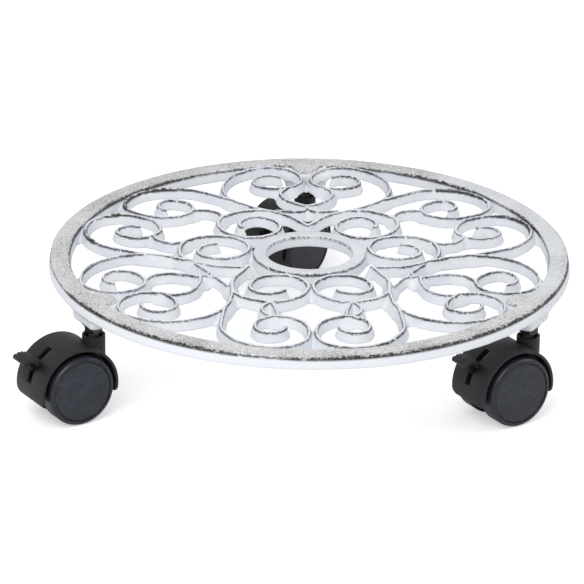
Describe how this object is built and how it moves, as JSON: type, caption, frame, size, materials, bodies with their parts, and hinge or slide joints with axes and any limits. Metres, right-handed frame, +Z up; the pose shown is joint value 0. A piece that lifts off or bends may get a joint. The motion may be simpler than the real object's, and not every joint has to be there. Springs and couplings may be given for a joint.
{
  "type": "plant caddy",
  "caption": "Round cast-iron plant caddy: open scrollwork plate with a rim and hub ring, carried on swivelling twin-wheel casters with hoods and brake levers.",
  "frame": {"origin": "centre of the hub hole at the level of the plate's top face, where a pot rests", "axes": "+Z up along the hub hole; the rear caster's stem lies towards +Y and the other two towards -Y, at 120 degrees to it"},
  "size_m": [0.3195, 0.3088, 0.067],
  "materials": {
    "plate_paint": "white antique wash on sand-cast iron, rubbed through to dark iron along the edges",
    "nut_steel": "dark oiled steel",
    "stem_steel": "plain steel",
    "housing_plastic": "black moulded plastic with a fine satin texture",
    "lever_plastic": "black moulded plastic",
    "wheel_plastic": "black moulded nylon",
    "cap_plastic": "black moulded nylon with a fine grained face"
  },
  "bodies": {
    "plate": {"plate": "plate_paint", "caster_1_stem": "stem_steel", "caster_1_lock_nut": "nut_steel", "caster_1_retaining_ring": "stem_steel", "caster_2_stem": "stem_steel", "caster_2_lock_nut": "nut_steel", "caster_2_retaining_ring": "stem_steel", "caster_3_stem": "stem_steel", "caster_3_lock_nut": "nut_steel", "caster_3_retaining_ring": "stem_steel"},
    "caster_1_swivel": {"caster_1_housing": "housing_plastic", "caster_1_lever_pin": "stem_steel", "caster_1_axle": "stem_steel"},
    "caster_1_brake": {"caster_1_brake_lever": "lever_plastic"},
    "caster_1_right": {"caster_1_right_wheel": "wheel_plastic", "caster_1_right_cap": "cap_plastic"},
    "caster_1_left": {"caster_1_left_wheel": "wheel_plastic", "caster_1_left_cap": "cap_plastic"},
    "caster_2_swivel": {"caster_2_housing": "housing_plastic", "caster_2_lever_pin": "stem_steel", "caster_2_axle": "stem_steel"},
    "caster_2_brake": {"caster_2_brake_lever": "lever_plastic"},
    "caster_2_right": {"caster_2_right_wheel": "wheel_plastic", "caster_2_right_cap": "cap_plastic"},
    "caster_2_left": {"caster_2_left_wheel": "wheel_plastic", "caster_2_left_cap": "cap_plastic"},
    "caster_3_swivel": {"caster_3_housing": "housing_plastic", "caster_3_lever_pin": "stem_steel", "caster_3_axle": "stem_steel"},
    "caster_3_brake": {"caster_3_brake_lever": "lever_plastic"},
    "caster_3_right": {"caster_3_right_wheel": "wheel_plastic", "caster_3_right_cap": "cap_plastic"},
    "caster_3_left": {"caster_3_left_wheel": "wheel_plastic", "caster_3_left_cap": "cap_plastic"}
  },
  "joints": [
    {"name": "caster_1_swivel_joint", "type": "hinge", "parent": "plate", "child": "caster_1_swivel", "pos_m": [-0.12315, -0.0711, -0.0465], "axis": [0, 0, 1], "continuous": true},
    {"name": "caster_1_right_wheel_joint", "type": "hinge", "parent": "caster_1_swivel", "child": "caster_1_right", "pos_m": [-0.13784, -0.08024, -0.0465], "axis": [0.5284, -0.849, 0], "continuous": true},
    {"name": "caster_1_left_wheel_joint", "type": "hinge", "parent": "caster_1_swivel", "child": "caster_1_left", "pos_m": [-0.13784, -0.08024, -0.0465], "axis": [0.5284, -0.849, 0], "continuous": true},
    {"name": "caster_1_brake_joint", "type": "hinge", "parent": "caster_1_swivel", "child": "caster_1_brake", "pos_m": [-0.14202, -0.08284, -0.0402], "axis": [0.5284, -0.849, 0], "range_deg": [0, 10]},
    {"name": "caster_2_swivel_joint", "type": "hinge", "parent": "plate", "child": "caster_2_swivel", "pos_m": [0.12315, -0.0711, -0.0465], "axis": [0, 0, 1], "continuous": true},
    {"name": "caster_2_right_wheel_joint", "type": "hinge", "parent": "caster_2_swivel", "child": "caster_2_right", "pos_m": [0.10872, -0.08065, -0.0465], "axis": [0.5519, -0.8339, 0], "continuous": true},
    {"name": "caster_2_left_wheel_joint", "type": "hinge", "parent": "caster_2_swivel", "child": "caster_2_left", "pos_m": [0.10872, -0.08065, -0.0465], "axis": [0.5519, -0.8339, 0], "continuous": true},
    {"name": "caster_2_brake_joint", "type": "hinge", "parent": "caster_2_swivel", "child": "caster_2_brake", "pos_m": [0.10462, -0.08337, -0.0402], "axis": [0.5519, -0.8339, 0], "range_deg": [0, 10]},
    {"name": "caster_3_swivel_joint", "type": "hinge", "parent": "plate", "child": "caster_3_swivel", "pos_m": [0, 0.1422, -0.0465], "axis": [0, 0, 1], "continuous": true},
    {"name": "caster_3_right_wheel_joint", "type": "hinge", "parent": "caster_3_swivel", "child": "caster_3_right", "pos_m": [-0.011, 0.12885, -0.0465], "axis": [0.7716, -0.6361, 0], "continuous": true},
    {"name": "caster_3_left_wheel_joint", "type": "hinge", "parent": "caster_3_swivel", "child": "caster_3_left", "pos_m": [-0.011, 0.12885, -0.0465], "axis": [0.7716, -0.6361, 0], "continuous": true},
    {"name": "caster_3_brake_joint", "type": "hinge", "parent": "caster_3_swivel", "child": "caster_3_brake", "pos_m": [-0.01414, 0.12505, -0.0402], "axis": [0.7716, -0.6361, 0], "range_deg": [0, 10]}
  ]
}
